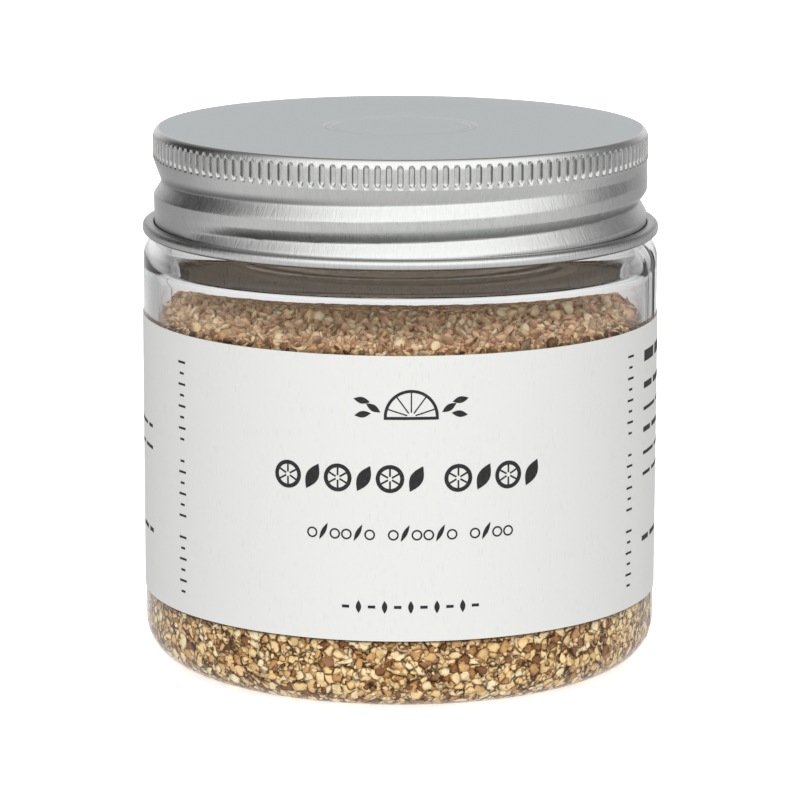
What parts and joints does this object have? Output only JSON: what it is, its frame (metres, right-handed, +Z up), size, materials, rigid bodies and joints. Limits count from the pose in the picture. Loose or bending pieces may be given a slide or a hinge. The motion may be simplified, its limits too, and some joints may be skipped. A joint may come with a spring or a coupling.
{
  "type": "jar of dried orange peel",
  "caption": "Clear screw jar of granulated dried orange peel, shut by a ribbed aluminium lid and wrapped in a pale paper label.",
  "frame": {"origin": "centre of the ring that the jar stands on", "axes": "+Z up along the jar's axis, towards the lid; the label's front faces -Y"},
  "size_m": [0.0614, 0.0614, 0.0635],
  "materials": {
    "clear_plastic": "clear, polished",
    "aluminium": "satin",
    "label_paper": "uncoated",
    "orange_peel": "dry, granular"
  },
  "bodies": {
    "root": {"jar": "clear_plastic", "lid": "aluminium", "label": "label_paper", "granules": "orange_peel"}
  },
  "joints": []
}
